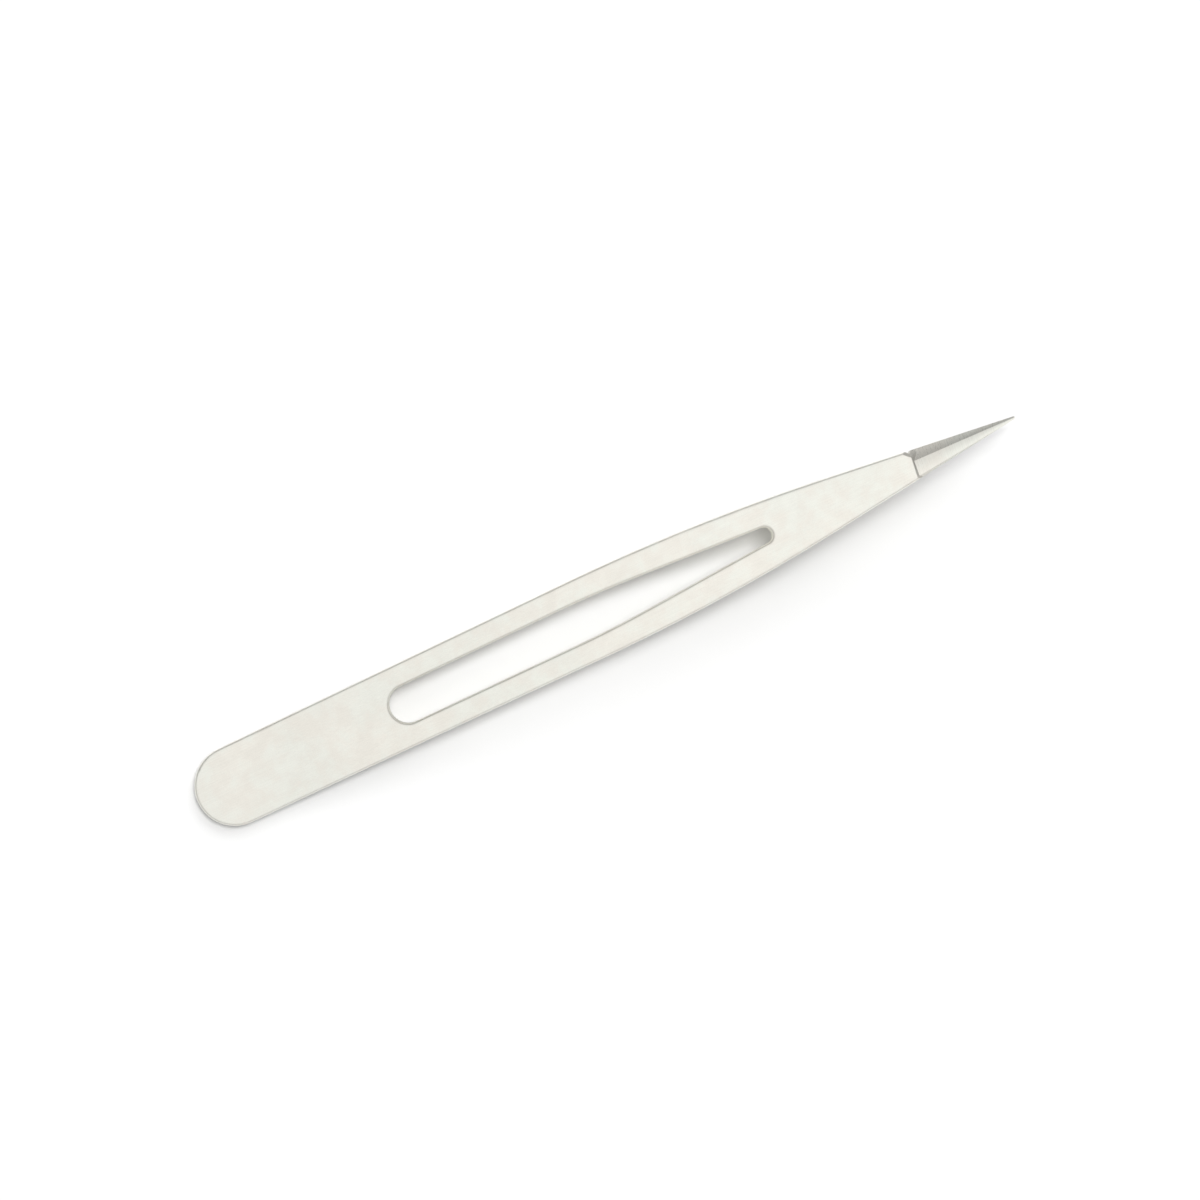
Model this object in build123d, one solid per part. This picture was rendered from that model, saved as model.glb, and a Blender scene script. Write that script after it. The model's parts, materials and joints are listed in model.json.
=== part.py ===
from build123d import *

import os
from math import asin, atan2, copysign, cos, degrees, hypot, pi, radians, sin, tan

# A pair of slotted tweezers with fine points: two matching strips of stainless steel,
# welded face to face at the heel and bowed apart in front of it.
# Sizes are in millimetres and angles in degrees. An arm is drawn with x from the heel end to the point,
# y across it, and z = 0 on the plane between the arms. Both arms are then laid down as the tweezers rest.

# Outline of an arm, seen square to its broad face
overall_length = 120.0
heel_radius = 5.35
belly_half_width = 5.68
belly_to_point = 45.0
belly_radius = 290.0
point_radius = 0.2

# Long slot through an arm
heel_to_slot = 28.3
slot_to_shoulder = 20.8
slot_rear_radius = 2.55
slot_front_radius = 1.1
slot_taper_length = 24.7
slot_taper_half_width = 2.6
slot_bend_radius = 160.0

# Side profile, given to the inner face of the upper arm
sheet_thickness = 1.3
joint_length = 12.0
heel_bend_radius = 50.0
bow_to_point = 58.0
bow_half_gap = 4.7
bow_radius = 160.0
point_half_gap = 3.1

# Shoulder across the outer face, where the point has been ground down
shoulder_to_point = 14.9
shoulder_step = 0.2
shoulder_slant = 7.0
shoulder_lean = 48.0
shoulder_corner = 1.0
corner_nick_depth = 0.4

# Point: a steep and a flat facet that meet in a ridge, with their heights taken from the inner face
ridge_side_offset = 0.45
steep_foot_height = 0.2
flat_foot_height = 1.0
flat_edge_bevel = 0.35
ridge_height_at_point = 0.32

# Edges, broken by tumbling
outer_edge_radius = 0.42
inner_edge_bevel = 0.08

# Places worked out from the sizes above
shoulder_x = overall_length - shoulder_to_point
slot_end = shoulder_x - slot_to_shoulder
bow_x = overall_length - bow_to_point
belly_corner = (overall_length - belly_to_point, belly_half_width)
rise_angle = atan2(bow_half_gap, bow_x - joint_length)
fall_angle = atan2(bow_half_gap - point_half_gap, bow_to_point)

# Room beyond the arm for the solids that cut it
clear_width = 2 * (belly_half_width + heel_radius)
clear_height = 2 * (bow_half_gap + sheet_thickness)


def tangent_point(corner, centre_x, radius):
    """Point where a line from a corner above the axis touches the top of a circle on the axis."""
    run = corner[0] - centre_x
    bearing = atan2(corner[1], run)
    swing = pi / 2 - asin(radius / hypot(run, corner[1]))
    angle = bearing + swing if run > 0 else bearing - swing
    return centre_x + radius * cos(angle), radius * sin(angle)


def long_taper(rear_x, rear_radius, corner, corner_radius, front_x, front_radius):
    """Face with a round rear end, sides that turn softly at a corner, and a tapered, round front end."""
    rear = tangent_point(corner, rear_x + rear_radius, rear_radius)
    front = tangent_point(corner, front_x - front_radius, front_radius)
    side = FilletPolyline(rear, corner, front, radius=corner_radius)
    rear_end = ThreePointArc(rear, (rear_x, 0), (rear[0], -rear[1]))
    front_end = ThreePointArc(front, (front_x, 0), (front[0], -front[1]))
    return make_face(side + mirror(side, about=Plane.XZ) + rear_end + front_end)


def arm_outline():
    return long_taper(0, heel_radius, belly_corner, belly_radius, overall_length, point_radius)


def slot_outline():
    corner = (slot_end - slot_taper_length, slot_taper_half_width)
    rear_end = (heel_to_slot, slot_rear_radius)
    front_end = (slot_end, slot_front_radius)
    return long_taper(*rear_end, corner, slot_bend_radius, *front_end)


def side_profile():
    """Strip of even thickness: flat at the joint, up to the bow, and gently down to the point."""
    inner_line = FilletPolyline(
        (0, 0),
        (joint_length, 0),
        (bow_x, bow_half_gap),
        (overall_length, point_half_gap),
        radius=(heel_bend_radius, bow_radius),
    )
    strip = offset(inner_line, amount=sheet_thickness, side=Side.LEFT, closed=True)
    return Plane.XZ * make_face(strip)


def inner_height(x):
    """Height of the upper arm's inner face in front of the bow."""
    return point_half_gap + (overall_length - x) * tan(fall_angle)


def half_width_at_shoulder():
    """Half the arm's width on the straight taper, where the shoulder crosses it."""
    front = tangent_point(belly_corner, overall_length - point_radius, point_radius)
    slope = (belly_corner[1] - front[1]) / (front[0] - belly_corner[0])
    return front[1] + (front[0] - shoulder_x) * slope


def corner_start():
    """Inner end of the shoulder's +y corner, at the height of the outer face."""
    y = half_width_at_shoulder() - shoulder_corner
    return shoulder_x + y * tan(radians(shoulder_slant)), y, inner_height(shoulder_x) + sheet_thickness


def ground_region():
    """What lies in front of the shoulder, past a slanting wall or one at 45 degrees that cuts back its corner.

    Both walls start at the same place on the outer face and lean back as they rise.
    """
    past_wall = (Align.MIN, Align.CENTER, Align.CENTER)
    in_front = Box(clear_width, 2 * clear_width, 2 * clear_width, align=past_wall)
    walls = [Rot(Z=turn) * Rot(Y=-shoulder_lean) * in_front for turn in (-shoulder_slant, 45)]
    return Pos(*corner_start()) * (walls[0] + walls[1])


def corner_nick():
    """Small V-shaped nick in the +y edge, just in front of the shoulder's cut corner."""
    bottom = Pos(corner_start()[0], half_width_at_shoulder() - corner_nick_depth, 0)
    beyond_edge = (Align.MIN, Align.MIN, Align.CENTER)
    return bottom * Rot(Z=45) * Box(clear_width, clear_width, 2 * clear_height, align=beyond_edge)


def metal_above(rear, front, foot):
    """Block that lies on the plane through three points."""
    normal = (front - rear).cross(foot - rear)
    facet = Plane(origin=rear, x_dir=front - rear, z_dir=normal * copysign(1, normal.Z))
    block_size = 2 * (shoulder_to_point + clear_width)
    return facet * Box(block_size, block_size, block_size, align=(Align.CENTER, Align.CENTER, Align.MIN))


def facet_planes():
    """Rear point, front point and foot of the steep facet, the flat facet and the bevel at its edge."""
    edge = half_width_at_shoulder()
    base = inner_height(shoulder_x)
    ridge_rear = Vector(shoulder_x, ridge_side_offset, base + sheet_thickness - shoulder_step)
    ridge_front = Vector(overall_length, 0, inner_height(overall_length) + ridge_height_at_point)
    steep_foot = Vector(shoulder_x, edge, base + steep_foot_height)
    flat_foot = Vector(shoulder_x, -edge, base + flat_foot_height)

    # The bevel narrows along the flat facet until it ends at the side of the point
    slope = (ridge_rear.Z - flat_foot.Z) / (ridge_rear.Y - flat_foot.Y)
    bevel_rear = flat_foot + Vector(0, flat_edge_bevel, flat_edge_bevel * slope)
    bevel_front = ridge_front - Vector(0, point_radius, point_radius * slope)
    bevel_foot = flat_foot - Vector(0, 0, flat_edge_bevel)
    return (
        (ridge_rear, ridge_front, steep_foot),
        (ridge_rear, ridge_front, flat_foot),
        (bevel_rear, bevel_front, bevel_foot),
    )


def rim_edges(arm, facing):
    """Edges round the faces that look up (1) or down (-1), without the seams between those faces."""
    faces_at_edge = {}
    for face in arm.faces():
        if face.normal_at().Z * facing > 0.5:
            for edge in face.edges():
                faces_at_edge[edge] = faces_at_edge.get(edge, 0) + 1
    return [edge for edge, faces in faces_at_edge.items() if faces == 1]


def upper_arm():
    profile = extrude(side_profile(), amount=clear_width, both=True)
    outline = extrude(arm_outline() - slot_outline(), amount=clear_height)
    arm = profile & outline

    # The shoulder, the facets and their ridge stay crisp, as they come from the grinding wheel
    ground = ground_region()
    for rear, front, foot in facet_planes():
        arm -= ground & metal_above(rear, front, foot)
    arm -= corner_nick()
    tumbled_length = shoulder_x - 2 * shoulder_corner
    tumbled = [edge for edge in rim_edges(arm, 1) if edge.bounding_box().min.X < tumbled_length]
    arm = fillet(tumbled, outer_edge_radius)
    return chamfer(rim_edges(arm, -1), inner_edge_bevel)


def resting_angle():
    """Angle of the line that the heel's lower edge and the lower arm's bow both touch from above."""
    half_turn = (rise_angle + fall_angle) / 2
    lean = (rise_angle - fall_angle) / 2
    centre_distance = bow_radius / cos(half_turn)
    bow_centre = (bow_x + centre_distance * sin(lean), centre_distance * cos(lean) - bow_half_gap)
    edge_centre = (outer_edge_radius, outer_edge_radius - sheet_thickness)
    run = bow_centre[0] - edge_centre[0]
    climb = bow_centre[1] - edge_centre[1]
    radius_gain = bow_radius + sheet_thickness - outer_edge_radius
    return atan2(climb, run) - asin(radius_gain / hypot(run, climb))


def main():
    upper = upper_arm()
    lower = mirror(upper, about=Plane.XY)

    # The origin is on the surface below the middle of the tweezers
    tilt = Rot(Y=degrees(resting_angle()))
    box = (tilt * Compound([upper, lower])).bounding_box()
    place = Pos(-box.center().X, -box.center().Y, -box.min.Z) * tilt

    os.makedirs("parts", exist_ok=True)
    for name, arm in (("upper_arm", upper), ("lower_arm", lower)):
        export_step(place * arm, f"parts/{name}.step")


main()
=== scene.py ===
import json
import math

import bpy
import numpy as np
from mathutils import Matrix, Vector

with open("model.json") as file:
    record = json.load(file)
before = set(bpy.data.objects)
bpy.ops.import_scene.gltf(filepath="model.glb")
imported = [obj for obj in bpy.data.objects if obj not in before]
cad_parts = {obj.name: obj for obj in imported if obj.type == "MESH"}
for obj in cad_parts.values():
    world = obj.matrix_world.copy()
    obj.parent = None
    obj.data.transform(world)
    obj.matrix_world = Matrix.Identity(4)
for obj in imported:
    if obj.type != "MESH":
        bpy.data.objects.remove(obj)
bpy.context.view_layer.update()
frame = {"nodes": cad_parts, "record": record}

# Slotted tweezers of satin stainless steel, lying on a white table and seen square to their broad side.
# Lengths are in metres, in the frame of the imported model, and angles in degrees.

# Pixels at which the photograph shows the heel's end and the point, and the lens it is taken to have
picture_size = 1200.0
heel_pixel = Vector((198.6, 802.7))
point_pixel = Vector((1013.7, 417.6))
lens = 300.0
sensor = 36.0

# Light: a soft key almost overhead, a broad side lamp, and the white room all round
table_white = 0.96
key_strength = 1.42
key_angle = 16.0
key_lean = 5.0
side_strength = 1.15
side_angle = 50.0
side_lean = 32.0
lamp_bearing = 20.0
fill_level = 0.33

# The room that the metal mirrors: bright overhead, dark low down
room_bright = 1.08
room_dark = 0.25
room_dark_below = 0.0
room_bright_above = 0.90
room_side_shift = 0.12

# Sizes that the finish follows, in millimetres
shoulder_to_point = 14.9
shoulder_slant = 7.0
shoulder_blend = 0.12
ridge_side_offset = 0.45
ground_half_width = 1.96

# Marks of the finish, as many to the millimetre along the arm, across it and through it
grain_scale = 7.0
hairline_scale = (0.10, 12.0, 12.0)
wheel_mark_scale = (16.0, 0.2, 2.0)
patch_scale = 0.45
cloud_scale = 0.12

# Relief of the finish, with its depth in metres
relief_strength = 0.5
relief_depth = 0.00003

# Colours of the steel, and how much its parts lighten or darken them
warm_steel = (0.845, 0.818, 0.750, 1)
cool_steel = (0.815, 0.818, 0.756, 1)
# Painted light: the steel is made a little brighter from the heel towards the tips
painted_light_heel_to_shoulder = (0.975, 1.045)
relief_shade = (0.93, 1.06)
patch_shade = (0.97, 1.03)
# Painted shade on the tips' facets: darkest at their ridge and towards the point
painted_flat_facet_shade = (0.79, 0.97)
painted_steep_facet_shade = (0.80, 1.0)
painted_point_shade = 0.85

# Roughness of the steel
satin_roughness = (0.34, 0.46)
ground_roughness = (0.26, 0.36)
edge_roughness = 0.30

millimetres = 1000.0
arm_up = Vector(frame["record"]["mounts"][0]["axis"]).normalized()
arm_across = Vector((0, 1, 0))
arm_along = arm_across.cross(arm_up)
lean_angle = math.atan2(arm_along.z, arm_along.x)


def reach(direction):
    """Lowest and highest place of the tweezers, measured along a direction."""
    places = []
    for arm in frame["nodes"].values():
        corners = np.empty(3 * len(arm.data.vertices), dtype=np.float32)
        arm.data.vertices.foreach_get("co", corners)
        places.append(corners.reshape(-1, 3) @ np.array(direction))
    places = np.concatenate(places)
    return float(places.min()), float(places.max())


def make_camera():
    """Looks square on the plane between the arms, and puts the arms' two ends on their pixels."""
    heel_end, point_end = reach(arm_along)
    run = point_pixel.x - heel_pixel.x
    climb = heel_pixel.y - point_pixel.y
    roll = math.atan2(climb, run)
    right = arm_along * math.cos(roll) - arm_across * math.sin(roll)
    up = arm_along * math.sin(roll) + arm_across * math.cos(roll)
    pixels_per_metre = math.hypot(run, climb) / (point_end - heel_end)
    middle = (heel_pixel + point_pixel) / 2
    off_right = (middle.x - picture_size / 2) / pixels_per_metre
    off_down = (middle.y - picture_size / 2) / pixels_per_metre
    aim = (arm_along * (heel_end + point_end) + arm_up * sum(reach(arm_up))) / 2
    aim += up * off_down - right * off_right
    distance = picture_size / pixels_per_metre * lens / sensor

    camera = bpy.data.objects.new("camera", bpy.data.cameras.new("camera"))
    bpy.context.collection.objects.link(camera)
    camera.data.lens = lens
    camera.data.sensor_width = sensor
    camera.data.clip_start = 0.01
    camera.data.clip_end = 20.0
    turn = Matrix((right, up, arm_up)).transposed()
    camera.matrix_world = Matrix.Translation(aim + arm_up * distance) @ turn.to_4x4()
    bpy.context.scene.camera = camera
    return right, up


def make_lamp(name, bearing, lean, strength, angle):
    """Soft distant lamp that leans from overhead towards a bearing, and that the metal doesn't mirror."""
    data = bpy.data.lights.new(name, "SUN")
    data.energy = strength
    data.angle = math.radians(angle)
    lamp = bpy.data.objects.new(name, data)
    bpy.context.collection.objects.link(lamp)
    toward = Vector((0, 0, 1)) * math.cos(math.radians(lean)) + bearing * math.sin(math.radians(lean))
    lamp.rotation_mode = "QUATERNION"
    lamp.rotation_quaternion = toward.to_track_quat("Z", "Y")
    lamp.visible_glossy = False


class Nodes:
    """A node tree, with short calls for adding a node and joining it up."""

    def __init__(self, tree):
        self.tree = tree
        self.tree.nodes.clear()

    def join(self, value, socket):
        if isinstance(value, bpy.types.NodeSocket):
            self.tree.links.new(value, socket)
        else:
            socket.default_value = value

    def add(self, kind, inputs=(), **settings):
        node = self.tree.nodes.new(kind)
        for name, value in settings.items():
            setattr(node, name, value)
        for name, value in dict(inputs).items():
            self.join(value, node.inputs[name])
        return node

    def math(self, operation, *values):
        return self.add("ShaderNodeMath", dict(enumerate(values)), operation=operation).outputs[0]

    def ramp(self, value, low, high, to_low=0.0, to_high=1.0):
        """Smooth step from to_low to to_high while the value goes from low to high."""
        inputs = {"Value": value, "From Min": low, "From Max": high, "To Min": to_low, "To Max": to_high}
        return self.add("ShaderNodeMapRange", inputs, interpolation_type="SMOOTHSTEP").outputs["Result"]

    def mix(self, factor, one, other, kind="RGBA", mode="MIX"):
        node = self.add("ShaderNodeMix", data_type=kind, blend_type=mode)
        first = {"FLOAT": 2, "RGBA": 6}[kind]
        self.join(factor, node.inputs[0])
        self.join(one, node.inputs[first])
        self.join(other, node.inputs[first + 1])
        return node.outputs[0 if kind == "FLOAT" else 2]

    def noise(self, place, scale, detail, roughness):
        inputs = {"Vector": place, "Scale": scale, "Detail": detail, "Roughness": roughness}
        return self.add("ShaderNodeTexNoise", inputs).outputs["Fac"]

    def stretched(self, place, turn, scale):
        """Coordinates turned in the plane of the broad face and then scaled."""
        rotation = (0, 0, math.radians(turn))
        turned = self.add("ShaderNodeMapping", {"Vector": place, "Rotation": rotation}).outputs[0]
        return self.add("ShaderNodeMapping", {"Vector": turned, "Scale": scale}).outputs[0]


def make_room():
    """Room that the metal mirrors as bright overhead and dark low down, most of all on the +y side.

    The table gets an even light from it.
    """
    world = bpy.data.worlds.new("room")
    world.use_nodes = True
    bpy.context.scene.world = world
    n = Nodes(world.node_tree)
    direction = n.add("ShaderNodeSeparateXYZ", {0: n.add("ShaderNodeTexCoord").outputs["Generated"]})
    side = n.math("MULTIPLY", direction.outputs["Y"], room_side_shift)
    height = n.math("SUBTRACT", direction.outputs["Z"], side)
    level = n.ramp(height, room_dark_below, room_bright_above, room_dark, room_bright)
    path = n.add("ShaderNodeLightPath")
    seen = n.math("MAXIMUM", path.outputs["Is Camera Ray"], path.outputs["Is Glossy Ray"])
    seen = n.math("MAXIMUM", seen, path.outputs["Is Transmission Ray"])
    strength = n.mix(seen, fill_level, level, kind="FLOAT")
    background = n.add("ShaderNodeBackground", {"Color": (1, 1, 1, 1), "Strength": strength})
    n.add("ShaderNodeOutputWorld", {"Surface": background.outputs[0]})


def make_table():
    bpy.ops.mesh.primitive_plane_add(size=12)
    table = bpy.context.object
    table.name = "table"
    material = bpy.data.materials.new("white_table")
    material.use_nodes = True
    n = Nodes(material.node_tree)
    paint = n.add("ShaderNodeBsdfDiffuse", {"Color": (table_white, table_white, table_white, 1)})
    n.add("ShaderNodeOutputMaterial", {"Surface": paint.outputs[0]})
    table.data.materials.append(material)


def tip_masks(n, along, side):
    """1 on the ground tip, and the painted shade of its facets, which are darkest at the ridge between
    them and towards the point.
    """
    point_end = millimetres * reach(arm_along)[1]
    slant = n.math("MULTIPLY", side, math.tan(math.radians(shoulder_slant)))
    past_shoulder = n.math("SUBTRACT", along, slant)
    shoulder = point_end - shoulder_to_point
    ground = n.ramp(past_shoulder, shoulder, shoulder + shoulder_blend)

    # Distance from the ridge, widened to what it would be at the shoulder
    to_point = n.math("MAXIMUM", n.math("SUBTRACT", point_end, along), 0.01)
    widened = n.math("DIVIDE", n.math("MULTIPLY", side, shoulder_to_point), to_point)
    from_ridge = n.math("SUBTRACT", widened, ridge_side_offset)
    # Painted shade: each facet is darkest at the ridge and lighter towards its outer edge
    painted_flat_facet = n.ramp(from_ridge, 0.0, -ground_half_width - ridge_side_offset, *painted_flat_facet_shade)
    painted_steep_facet = n.ramp(from_ridge, 0.0, ground_half_width - ridge_side_offset, *painted_steep_facet_shade)
    # Painted shade: the steep facet darkens towards the point
    point_painted_shade = n.ramp(to_point, 0.0, shoulder_to_point, painted_point_shade, 1.0)
    painted_steep_facet = n.math("MULTIPLY", painted_steep_facet, point_painted_shade)
    facet_painted_shade = n.mix(n.math("GREATER_THAN", from_ridge, 0.0), painted_flat_facet, painted_steep_facet, kind="FLOAT")
    return ground, facet_painted_shade


def satin_steel():
    """Pale satin stainless steel with tumbled edges, and tips ground by a wheel that crossed them."""
    material = bpy.data.materials.new("satin_steel")
    material.use_nodes = True
    n = Nodes(material.node_tree)
    coordinates = n.add("ShaderNodeTexCoord")

    # Millimetres along the arm, across it and above it
    in_arm_frame = {
        "Vector": coordinates.outputs["Object"],
        "Rotation": (0, lean_angle, 0),
        "Scale": (millimetres, millimetres, millimetres),
    }
    place = n.add("ShaderNodeMapping", in_arm_frame).outputs[0]
    along, side, height = n.add("ShaderNodeSeparateXYZ", {0: place}).outputs
    heel_end, point_end = (millimetres * end for end in reach(arm_along))
    ground, facet_painted_shade = tip_masks(n, along, side)

    # 1 on the narrow edges, which look away from the broad faces
    normal = {0: coordinates.outputs["Normal"], 1: arm_up}
    facing = n.add("ShaderNodeVectorMath", normal, operation="DOT_PRODUCT").outputs["Value"]
    edge = n.ramp(n.math("ABSOLUTE", facing), 0.80, 0.985, 1.0, 0.0)

    # 1 on the outer faces, which look away from the other arm
    above_middle = n.math("SUBTRACT", height, millimetres * sum(reach(arm_up)) / 2)
    outward = n.math("GREATER_THAN", n.math("MULTIPLY", facing, above_middle), 0.0)

    # Satin: tumbled grain and faint brushed hairlines, and the grinding wheel's marks on the tips
    grain = n.noise(place, grain_scale, 4.0, 0.65)
    hairline = n.noise(n.stretched(place, 0, hairline_scale), 1.0, 4.0, 0.65)
    texture = n.mix(0.5, grain, hairline, kind="FLOAT")
    wheel_mark = n.noise(n.stretched(place, shoulder_slant, wheel_mark_scale), 1.0, 4.0, 0.65)
    relief = n.mix(ground, texture, wheel_mark, kind="FLOAT")

    # Clouds in the colour, from warm to cool
    patch = n.noise(place, patch_scale, 3.0, 0.6)
    cloud = n.noise(place, cloud_scale, 2.0, 0.5)
    satin = n.mix(n.ramp(n.mix(0.4, patch, cloud, kind="FLOAT"), 0.38, 0.62), warm_steel, cool_steel)

    # Shade: painted light makes it a little brighter towards the tips, the finish makes it uneven, and
    # painted shade darkens it along the ridges
    shade = n.ramp(along, heel_end, point_end - shoulder_to_point, *painted_light_heel_to_shoulder)
    for other in (
        n.ramp(relief, 0.25, 0.75, *relief_shade),
        n.ramp(patch, 0.3, 0.7, *patch_shade),
        n.mix(n.math("MULTIPLY", ground, outward), 1.0, facet_painted_shade, kind="FLOAT"),
    ):
        shade = n.math("MULTIPLY", shade, other)
    grey = n.add("ShaderNodeCombineXYZ", {0: shade, 1: shade, 2: shade}).outputs[0]
    colour = n.mix(1.0, satin, grey, mode="MULTIPLY")

    satin_part = n.mix(edge, n.ramp(texture, 0.25, 0.75, *satin_roughness), edge_roughness, kind="FLOAT")
    ground_part = n.ramp(wheel_mark, 0.25, 0.75, *ground_roughness)
    roughness = n.mix(ground, satin_part, ground_part, kind="FLOAT")
    uneven = {"Height": relief, "Strength": relief_strength, "Distance": relief_depth}
    bump = n.add("ShaderNodeBump", uneven)
    steel = n.add(
        "ShaderNodeBsdfPrincipled",
        {"Base Color": colour, "Metallic": 1.0, "Roughness": roughness, "Normal": bump.outputs[0]},
    )
    n.add("ShaderNodeOutputMaterial", {"Surface": steel.outputs[0]})
    return material


bpy.context.scene.view_settings.view_transform = "Standard"
picture_right, picture_up = make_camera()
lamp_turn = math.radians(lamp_bearing)
lamp_side = picture_up * math.cos(lamp_turn) + picture_right * math.sin(lamp_turn)
lamp_side = Vector((lamp_side.x, lamp_side.y, 0)).normalized()
make_lamp("key", lamp_side, key_lean, key_strength, key_angle)
make_lamp("side_lamp", lamp_side, side_lean, side_strength, side_angle)
make_room()
make_table()
steel = satin_steel()
for node in ("upper_arm", "lower_arm"):
    arm = frame["nodes"][node]
    arm.data.materials.clear()
    arm.data.materials.append(steel)
